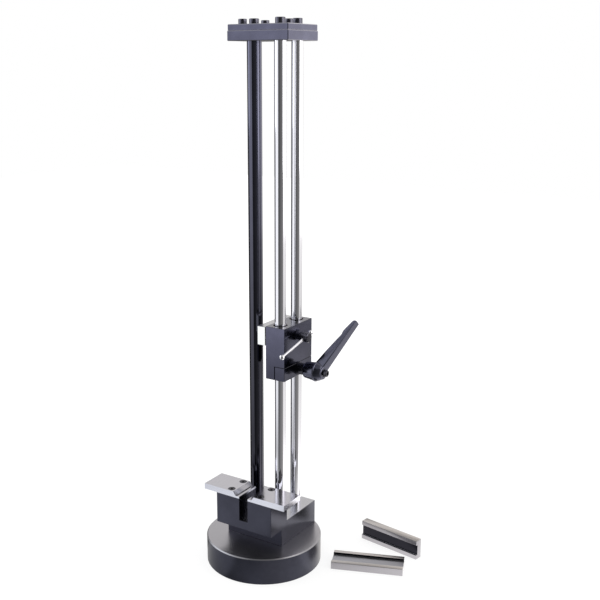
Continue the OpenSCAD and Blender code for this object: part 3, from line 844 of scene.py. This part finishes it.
@dataclass(frozen=True)
class LeverShape:
    """Sizes of the adjustable clamping lever, in millimetres.

    Its own frame has +Z outwards along the lever's axis, from the row's X = 0.

    Attributes:
        hub: radius and distance of the hub's profile, once round from the inner bore to the outside and back.
        depth: distance from the axis and depth of the arm there, measured back from its straight front edge.
        breadth: breadth of the arm at the first and the last of those distances.
        front: place of the front edge along the axis at the first distance.
        rise: how much further out it stands for each length along the arm.
        angle: angle of the arm above the horizontal, in degrees.
        power: exponent of the section's superellipse.
        stations: distances at which the even sections end and the close ones of the tip begin.
        tip: distances between which the breadth falls off, and the share that it loses.
    """

    hub: Steps = (
        (2.2, 47.2), (5.9, 47.2), (5.9, 43.8), (6.5, 43.7), (6.5, 41.8), (6.7, 41.5), (8.3, 41.5),
        (8.5, 41.56), (8.62, 41.75), (8.75, 43.0), (9.0, 45.2), (9.3, 47.6), (9.6, 50.0), (9.85, 52.2),
        (9.95, 53.0), (10.25, 53.3), (10.45, 53.7), (10.45, 54.1), (10.3, 54.5), (10.05, 54.75), (9.8, 54.9),
        (9.5, 56.0), (9.1, 57.4), (8.4, 59.1), (7.4, 60.8), (6.85, 61.4), (6.85, 61.6), (7.0, 61.9),
        (6.95, 62.25), (6.7, 62.5), (6.2, 62.62), (5.4, 62.75), (4.4, 62.88), (4.15, 62.9), (3.98, 62.8),
        (3.9, 62.6), (3.9, 50.3), (2.2, 50.3))
    depth: Steps = (
        (4.2, 12.3), (8.0, 11.8), (18.0, 10.5), (28.0, 8.9), (38.0, 7.1), (41.5, 6.4), (43.5, 6.1), (45.0, 6.4),
        (47.0, 7.0), (49.0, 6.8), (52.0, 6.2), (56.0, 5.4), (59.5, 4.6), (61.2, 4.1), (62.3, 3.4), (62.8, 2.6),
        (63.1, 1.6))
    breadth: Pair = (11.2, 8.2)
    front: float = 62.72
    rise: float = 0.263
    angle: float = 47.7
    power: float = 8.0
    stations: Pair = (58.0, 58.5)
    tip: Vec3 = (62.4, 63.0, 0.15)

    def points(self) -> tuple[np.ndarray, np.ndarray]:
        """Works out the hub and the arm.

        The hub is a surface of revolution. The arm's section at distance d from the axis is the superellipse
        |x / a|^n + |y / b|^n = 1, where n is the power: 2 a is the depth there, 2 b goes in a straight line
        from the one breadth to the other and falls off at the tip, and the section's front stays on the
        straight front edge.

        Returns:
            The hub's rings and the arm's rings.
        """
        turn = np.linspace(0, 2 * math.pi, HUB_POINTS, endpoint=False)
        hub = rings([(r * MM, z * MM) for r, z in self.hub], round_ring, turn)
        knots = np.array(self.depth)
        even, close = self.stations
        d = np.concatenate([
            np.linspace(knots[0, 0], even, ARM_SECTIONS), np.linspace(close, knots[-1, 0], TIP_SECTIONS)])
        full = np.interp(d, knots[:, 0], knots[:, 1])
        start, end, loss = self.tip
        fall = 1 - loss * np.clip((d - start) / (end - start), 0, 1) ** 2
        wide = np.interp(d, knots[[0, -1], 0], self.breadth) * fall
        tilt = math.atan(self.rise)
        t = np.linspace(0, 2 * math.pi, ARM_POINTS, endpoint=False)

        def blunt(c: np.ndarray) -> np.ndarray:
            """Sine or cosine to the power 2 / n, with its sign kept."""
            return np.sign(c) * np.abs(c) ** (2 / self.power)

        back = full[:, None] / 2 * (blunt(np.sin(t)) - 1)
        side = wide[:, None] / 2 * blunt(np.cos(t))
        outward = np.array([-math.sin(tilt), 0.0, math.cos(tilt)])
        edge = np.stack([d, 0 * d, self.front + (d - d[0]) * self.rise], axis=-1)
        arm = edge[:, None, :] + back[..., None] * outward + side[..., None] * np.array([0.0, 1.0, 0.0])
        return hub, arm @ about_z(self.angle).T * MM


@dataclass(frozen=True)
class Spring:
    """Helical spring whose end turns lie on their seats.

    Attributes:
        radius: radius of the coil's middle line.
        wire: diameter of the wire.
        turns: number of turns.
        ease: share of the climb that goes by the smooth step instead of evenly.
    """

    radius: float = 2.8 * MM
    wire: float = 0.8 * MM
    turns: int = 5
    ease: float = 0.3

    def points(self, low: float, high: float) -> np.ndarray:
        """Works out the coil between two seats.

        The middle line is (R cos a, R sin a, z), where z climbs with the share s of the turns, partly evenly
        and partly by the smooth step s^2 (3 - 2 s). The wire's ring stands across it in the plane of the axis.

        Args:
            low: height of the lower seat.
            high: height of the upper seat.

        Returns:
            An array of rings x points x 3.
        """
        share = np.linspace(0, 1, self.turns * TURN_POINTS + 1)[:, None]
        a = share * self.turns * 2 * math.pi
        b = np.linspace(0, 2 * math.pi, WIRE_POINTS, endpoint=False)[None, :]
        eased = share * (1 - self.ease) + self.ease * share * share * (3 - 2 * share)
        out = self.radius + self.wire / 2 * np.cos(b)
        z = low + self.wire / 2 + (high - low - self.wire) * eased - self.wire / 2 * np.sin(b)
        return np.stack([out * np.cos(a), out * np.sin(a), z], axis=-1)


@dataclass
class Carriage:
    """The sliding block with its clamp jaw, pressure jaw, tommy-bar screw and clamping lever."""

    lever: LeverShape = LeverShape()
    spring: Spring = Spring()
    lever_thread: float = 4 * MM
    spring_seat: float = 50.3 * MM
    lift: float = 3.5 * MM

    def build(self) -> None:
        """Builds and dresses the carriage."""
        dress(PALETTE.carriage, "carriage_block", "clamp_jaw")
        dress(PALETTE.bronze, "carriage_bushes")
        dress(PALETTE.jaw, "pressure_jaw")
        dress(PALETTE.steel, "jaw_guide_pins", "jaw_retaining_pin")
        dress(PALETTE.screws, "tee_screw", "lever_stud", "lever_washer")
        dress(PALETTE.tommy, "tommy_bar", "tommy_bar_balls")
        middle = mid("lever_stud")
        place = along((1, 0, 0), (0, middle[1], middle[2]))
        self._handle(place)
        self._screw_and_spring(place, middle)

    def _handle(self, place: Placement) -> None:
        """The smooth lever: hub and arm.

        Args:
            place: lays the lever's frame along its axis.
        """
        hub, arm = self.lever.points()
        shape = Shape().grid(hub, wrap=True).grid(arm)
        made = shape.build("clamping_lever", PALETTE.lever, place)
        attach(made, "lever")
        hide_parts("lever_handle")

    def _screw_and_spring(self, place: Placement, middle: np.ndarray) -> None:
        """The screw in the lever's cap and the spring under its head.

        Args:
            place: lays the lever's frame along its axis.
            middle: a point on that axis.
        """
        low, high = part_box("lever_screw")
        top = high.x - self.lever_thread
        screw = CapScrew(self.lever_thread, top - low.x, 32)
        seat = (top, middle[1], middle[2])
        screw_group("lever_cap_screw", "lever_screw", "clamp_stud", screw, (1, 0, 0), [seat])
        coil = Shape().grid(self.spring.points(self.spring_seat, top))
        made = coil.build("lever_coil_spring", PALETTE.steel, place)
        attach(made, "lever")
        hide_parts("lever_spring")
        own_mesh(made)


@dataclass(frozen=True)
class GroovedBar:
    """A loose jaw bar: ground outside, black in its groove, and darker there than plain black oxide as painted
    shade.

    Attributes:
        node: the CAD node that it replaces, whose body has the same name.
        length: length.
        width: width of the grooved face.
        thick: thickness.
        groove: width of the groove.
        corner: place of its front left corner on the floor.
        heading: direction of its length, in degrees from +X.
        standing: whether it stands on its edge with the groove to the front.
        depth: depth of the groove.
        round_off: radius of the long outer edges.
        groove_edge: chamfer in and along the groove.
        ends: distances from an end at which its rounding has its middle and its end.
    """

    node: str
    length: float
    width: float
    thick: float
    groove: float
    corner: Pair
    heading: float
    standing: bool
    depth: float = 2.2 * MM
    round_off: float = 0.45 * MM
    groove_edge: float = 0.15 * MM
    ends: Pair = (0.12 * MM, 0.4 * MM)

    def _section(self) -> tuple[np.ndarray, np.ndarray]:
        """Outline across the bar, counter-clockwise, with rounded outer corners and chamfered groove edges.

        Returns:
            The outline's points and a mask of the edges that lie in the groove.
        """
        w, t, r, c = self.width, self.thick, self.round_off, self.groove_edge
        arc = np.linspace(0, math.pi / 2, 5)
        corners = []
        for k, (x, y) in enumerate(((w - r, r), (w - r, t - r), (r, t - r), (r, r))):
            a = arc + (k - 1) * math.pi / 2
            corners.append(np.stack([x + r * np.cos(a), y + r * np.sin(a)], axis=-1))
        g0, g1, floor = (w - self.groove) / 2, (w + self.groove) / 2, t - self.depth
        dip = np.array([(g1 + c, t), (g1, t - c), (g1, floor + c), (g1 - c, floor),
                        (g0 + c, floor), (g0, floor + c), (g0, t - c), (g0 - c, t)])
        points = np.concatenate([corners[0], corners[1], dip, corners[2], corners[3]])
        dark = np.zeros(len(points), bool)
        first = len(corners[0]) + len(corners[1])
        dark[first:first + len(dip) - 1] = True
        return points, dark

    def build(self) -> None:
        """Builds the bar: its outline is carried along its length, a little smaller at the two ends."""
        outline, dark = self._section()
        middle = np.array([self.width / 2, self.thick / 2])
        a, b = self.ends
        stations = np.array([0.0, a, b, self.length - b, self.length - a, self.length])
        inset = np.array([b, a, 0.0, 0.0, a, b])
        shrink = 1 - inset[:, None, None] / middle
        across = middle + (outline - middle) * shrink
        x = np.repeat(stations[:, None], len(outline), axis=1)[..., None]
        points = np.concatenate([x, across], axis=-1)
        if self.standing:
            points = points[..., [0, 2, 1]] * [1, -1, 1] + [0, self.thick, 0]
        spin, corner = about_z(self.heading).T, np.array([*self.corner, 0.0])
        made = Shape().grid(points).build(f"ground_{self.node}", PALETTE.bars, lambda p: p @ spin + corner)
        made.data.materials.append(PALETTE.groove.material())
        index = np.zeros(len(made.data.polygons), np.int32)
        index[:(len(stations) - 1) * len(outline)] = np.tile(dark, len(stations) - 1)
        made.data.polygons.foreach_set("material_index", index)
        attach(made, self.node)
        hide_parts(self.node)


@dataclass
class JawBars:
    """The two loose grooved jaw bars."""

    narrow: GroovedBar = GroovedBar("narrow_jaw_bar", 74 * MM, 22 * MM, 9.2 * MM, 12 * MM,
                                    (72.4 * MM, 92.9 * MM), -8.5, True)
    wide: GroovedBar = GroovedBar("wide_jaw_bar", 77 * MM, 27.5 * MM, 8.2 * MM, 16.5 * MM,
                                  (76.9 * MM, 14.3 * MM), 21.6, False)

    def build(self) -> None:
        """Builds the bars."""
        self.narrow.build()
        self.wide.build()


@dataclass(frozen=True)
class PhotoCamera:
    """The camera at the photograph's viewpoint, from a fit of the object's edges.

    Attributes:
        place: the camera's position.
        yaw: degrees to the left of +Y that it looks.
        pitch: degrees below the horizontal that it looks.
        roll: degrees that it is turned about its own axis.
        focal: focal length in pixels of the square picture.
        middle: pixel that the optical axis meets.
        picture: width of the picture in pixels.
    """

    place: Vec3 = (0.5347, -0.7894, 0.5299)
    yaw: float = 33.29
    pitch: float = 14.38
    roll: float = -0.09
    focal: float = 950.96
    middle: Pair = (276.08, 305.65)
    picture: int = 600

    def build(self) -> None:
        """Makes the camera and hands it to the scene."""
        lens = bpy.data.cameras.new("photo camera")
        lens.sensor_fit = "HORIZONTAL"
        lens.sensor_width = 36.0
        lens.lens = lens.sensor_width * self.focal / self.picture
        lens.shift_x = 0.5 - self.middle[0] / self.picture
        lens.shift_y = self.middle[1] / self.picture - 0.5
        lens.clip_start = 0.01
        lens.clip_end = 50.0
        camera = put("photo camera", lens)
        camera.location = self.place
        tilt = Matrix.Rotation(math.radians(90.0 - self.pitch), 3, "X")
        turn = Matrix.Rotation(math.radians(self.yaw), 3, "Z")
        lean = Matrix.Rotation(math.radians(self.roll), 3, "Z")
        camera.rotation_euler = (turn @ tilt @ lean).to_euler()
        bpy.context.scene.camera = camera


@dataclass(frozen=True)
class Lamp:
    """A soft rectangular lamp that faces a point.

    Attributes:
        name: the lamp's name.
        place: its middle.
        size: width and height.
        power: watts.
        tint: colour of the light.
    """

    name: str
    place: Vec3
    size: Pair
    power: float
    tint: Colour = (1.0, 1.0, 1.0)

    def build(self, target: Vec3) -> None:
        """Makes the lamp.

        Args:
            target: the point that the lamp faces.
        """
        light = bpy.data.lights.new(self.name, "AREA")
        light.shape = "RECTANGLE"
        light.size, light.size_y = self.size
        light.energy = self.power
        light.color = self.tint
        lamp = put(self.name, light)
        lamp.location = self.place
        aim = np.asarray(target) - np.asarray(self.place)
        lamp.rotation_euler = (
            math.acos(-aim[2] / np.linalg.norm(aim)), 0.0, math.atan2(aim[1], aim[0]) - math.pi / 2)


# Where the room's sectors meet, as cosines between headings: left and right, behind, in front, and the dark
# side above the floor. The leans shift an edge round towards the right.
SIDE_EDGE, BACK_EDGE, FRONT_EDGE, DARK_EDGE = (-0.4, 0.4), (0.14, 0.37), (0.66, 0.78), (0.6, 0.8)
BACK_LEAN, FRONT_LEAN = 0.58, 0.13
# Where the levels of the walls meet, as the upward share of a direction: low and high, dimmed behind, overhead
HIGH_EDGE, DIM_EDGE, OVER_EDGE = (0.12, 0.25), (0.5, 0.62), (0.8, 0.93)
# How much brighter the high walls are on the right and darker behind, and between which cosines that sets in
RIGHT_GAIN, GAIN_EDGE = 0.3, (0.0, 0.6)
BACK_LOSS, LOSS_EDGE = 0.6, (0.2, 0.6)
# Level of the dark side above the floor, its gain to the right, and the floor's gain to the right in front
DARK_LEVEL, DARK_GAIN, FRONT_GAIN = 0.14, 0.11, 0.8
# Greatest distance and level that the floor's ramps of painted light and shade cover
RAMP_REACH, RAMP_LEVEL = 2.5, 2.0
# Share of a painted-shade patch's half width that it fills evenly, and the cosines between which its sides fade
PATCH_CORE, PATCH_EDGE = 0.45, (0.94, 0.985)


@dataclass(frozen=True)
class Room:
    """Levels of the room that polished faces reflect: bright on both sides, dark on the camera's side.

    Attributes:
        toward: heading from the object to the dark side.
        aside: heading to its right, as the camera sees it.
        left: distance on the floor and level there, on the left; the last holds up to the horizon.
        right: the same on the right.
        front: the same in front.
        behind: level behind the object near the horizon, on the left and on the right.
        patches: heading, distance, half width and level of darker places on the floor, painted shade.
        above: level higher up all round.
        ceiling: level overhead.
        warm: tint of the light from the right.
    """

    toward: Vec3 = (0.561, -0.828, 0.0)
    aside: Vec3 = (0.828, 0.561, 0.0)
    # On the floor these levels are painted light and painted shade that it glows with in reflections.
    left: Steps = (
        (0.07, 0.62), (0.13, 0.9), (0.2, 0.92), (0.3, 0.65), (0.5, 1.0), (1.1, 1.2))
    right: Steps = (
        (0.07, 1.25), (0.12, 1.5), (0.16, 1.8), (0.25, 1.6), (0.4, 1.1), (0.8, 0.9), (1.1, 0.85), (1.5, 1.0),
        (1.95, 1.05), (2.12, 1.6))
    front: Steps = ((0.09, 0.6), (0.25, 0.22), (1.0, 0.15))
    behind: Pair = (0.16, 0.32)
    patches: tuple[tuple[Vec3, float, float, float], ...] = (((0.544, 0.839, 0.0), 0.97, 0.15, 0.33),)
    above: float = 1.05
    ceiling: float = 0.2
    warm: Colour = (1.03, 1.0, 0.96)

    def side(self, graph: Graph, where: Value) -> Value:
        """How far a place or direction lies to the right: 0 on the left, 1 on the right."""
        return graph.heading(where, self.aside).band(*SIDE_EDGE)

    @staticmethod
    def _steps(graph: Graph, reach: Value, steps: Steps) -> Value:
        """Level at a distance, from pairs of distance and level."""
        stops = [(distance / RAMP_REACH, (level / RAMP_LEVEL,) * 3) for distance, level in steps]
        return graph.node("ValToRGB", {"stops": stops}, {0: reach / RAMP_REACH}) * RAMP_LEVEL

    def _around(self, graph: Graph, where: Value, left: Setting, right: Setting, front: Setting) -> Value:
        """Blends the levels of the sectors.

        Args:
            graph: the graph.
            where: the place or direction.
            left: level on the left.
            right: level on the right.
            front: level in front.

        Returns:
            The level.
        """
        ahead, side = graph.heading(where, self.toward), self.side(graph, where)
        back = (ahead * -1.0 - BACK_LEAN * side).band(*BACK_EDGE)
        dim = self.behind[0] + (self.behind[1] - self.behind[0]) * side
        level = (side * right + (1.0 - side) * left) * (1.0 - back) + dim * back
        fore = (ahead + FRONT_LEAN * side).band(*FRONT_EDGE)
        return level * (1.0 - fore) + front * fore

    def walls(self, graph: Graph) -> Value:
        """Level in each direction above the floor.

        Args:
            graph: the world's graph.

        Returns:
            The level.
        """
        where = graph.direction()
        rise = graph.split(where).part("Z")
        ahead, side = graph.heading(where, self.toward), graph.heading(where, self.aside)
        high = rise.band(*HIGH_EDGE) * (1.0 - ahead.band(*DARK_EDGE))
        dimmed = 1.0 - BACK_LOSS * (ahead * -1.0).band(*LOSS_EDGE) * rise.band(*DIM_EDGE)
        above = self.above * (1.0 + RIGHT_GAIN * side.band(*GAIN_EDGE)) * dimmed
        low = self._around(graph, where, self.left[-1][1], self.right[-1][1], DARK_LEVEL + DARK_GAIN * side)
        level = low * (1.0 - high) + above * high
        over = rise.band(*OVER_EDGE)
        return level * (1.0 - over) + self.ceiling * over

    def ground(self, graph: Graph) -> Value:
        """Level that each place on the floor glows with in reflections: painted light and painted shade, darker
        close in front of the object, with paler pools and darker patches.

        Args:
            graph: the floor's graph.

        Returns:
            The level.
        """
        where = graph.place()
        reach = graph.distance(where)
        front = self._steps(graph, reach, self.front) * (1.0 + FRONT_GAIN * graph.heading(where, self.aside))
        left, right = self._steps(graph, reach, self.left), self._steps(graph, reach, self.right)
        level = self._around(graph, where, left, right, front)
        for heading, distance, half, low in self.patches:
            near = 1.0 - abs(reach - distance).band(half * PATCH_CORE, half)
            patch = near * graph.heading(where, heading).band(*PATCH_EDGE)
            level = level * (1.0 - patch) + low * patch
        return level


@dataclass
class Studio:
    """White floor and backdrop, soft lamps, and the room that polished faces reflect.

    Attributes:
        floor_reach: half width of the floor.
        fill: level of the surroundings as a source of light.
        glow: share of the floor's white that needs no light, so that its shadows stay faint.
        glow_edge: distances between which that share rises to all of it.
        paint: reflectance of the floor.
        held: how much less of it the camera sees, because the glow stands in for it.
        room: the reflected room.
        lamps: the lamps.
        target: the point that the lamps face.
    """

    floor_reach: float = 3.0
    fill: float = 0.75
    glow: float = 0.8
    glow_edge: Pair = (0.15, 0.5)
    paint: float = 0.93
    held: float = 0.65
    room: Room = Room()
    lamps: tuple[Lamp, ...] = (
        Lamp("overhead softbox", (0.1, 0.2, 2.4), (3.0, 3.0), 6.0),
        Lamp("left softbox", (-1.3, -0.5, 0.9), (0.9, 1.2), 5.0, (0.93, 0.96, 1.0)),
        Lamp("right softbox", (1.5, 0.1, 0.8), (0.9, 1.2), 5.0, (1.0, 0.985, 0.96)),
    )
    target: Vec3 = (0.0, 0.0, 0.25)

    def build(self) -> None:
        """Builds the floor, the world and the lamps."""
        bpy.context.scene.view_settings.view_transform = "Standard"
        self._floor()
        self._world()
        for lamp in self.lamps:
            lamp.build(self.target)

    def _floor(self) -> None:
        """A white plane at the height of the foot: white to the camera; in reflections it glows with the room's
        levels, painted light and painted shade on the floor.
        """
        half = self.floor_reach
        mesh = bpy.data.meshes.new("studio floor")
        corners = [(-half, -half, 0), (half, -half, 0), (half, half, 0), (-half, half, 0)]
        mesh.from_pydata(corners, [], [(0, 1, 2, 3)])
        material = bpy.data.materials.new("floor white")
        material.use_nodes = True
        graph = Graph(material.node_tree)
        camera, where = graph.ray(), graph.place()
        glossy = camera.part("Is Glossy Ray")
        white = self.glow + (1.0 - self.glow) * graph.distance(where).band(*self.glow_edge)
        tint = graph.blend(self.room.side(graph, where) * glossy, (1.0, 1.0, 1.0), self.room.warm)
        graph.surface({
            "Base Color": self.paint - self.held * camera - self.paint * glossy,
            "Roughness": 1.0,
            "Specular IOR Level": 0.0,
            # Glow seen in reflections: painted light and painted shade on the floor, warmer on the right.
            "Emission Color": graph.scaled(tint, white * camera + self.room.ground(graph) * glossy),
            "Emission Strength": 1.0,
        })
        mesh.materials.append(material)
        floor = put("studio floor", mesh)

    def _world(self) -> None:
        """White to the camera, the room's walls in reflections, and a plain fill for the rest."""
        world = bpy.data.worlds.new("studio")
        bpy.context.scene.world = world
        world.use_nodes = True
        graph = Graph(world.node_tree)
        camera = graph.ray()
        glossy = camera.part("Is Glossy Ray")
        plain = 1.0 - self.fill
        strength = self.fill + plain * camera + plain * camera.part("Is Transmission Ray")
        strength = strength + (self.room.walls(graph) - self.fill) * glossy
        tint = graph.blend(self.room.side(graph, graph.direction()) * glossy, (1.0, 1.0, 1.0), self.room.warm)
        sky = graph.node("Background", {}, {"Color": tint, "Strength": strength})
        graph.node("OutputWorld", {}, {"Surface": sky})


def main() -> None:
    """Builds the setter's pieces in order, then the studio and the camera."""
    logging.basicConfig(level=logging.INFO, format="%(name)s: %(message)s")
    for part in (Base(), Tower(), Carriage(), JawBars(), Studio(), PhotoCamera()):
        part.build()
        LOG.info("finished %s", type(part).__name__)


if __name__ == "__main__":
    main()
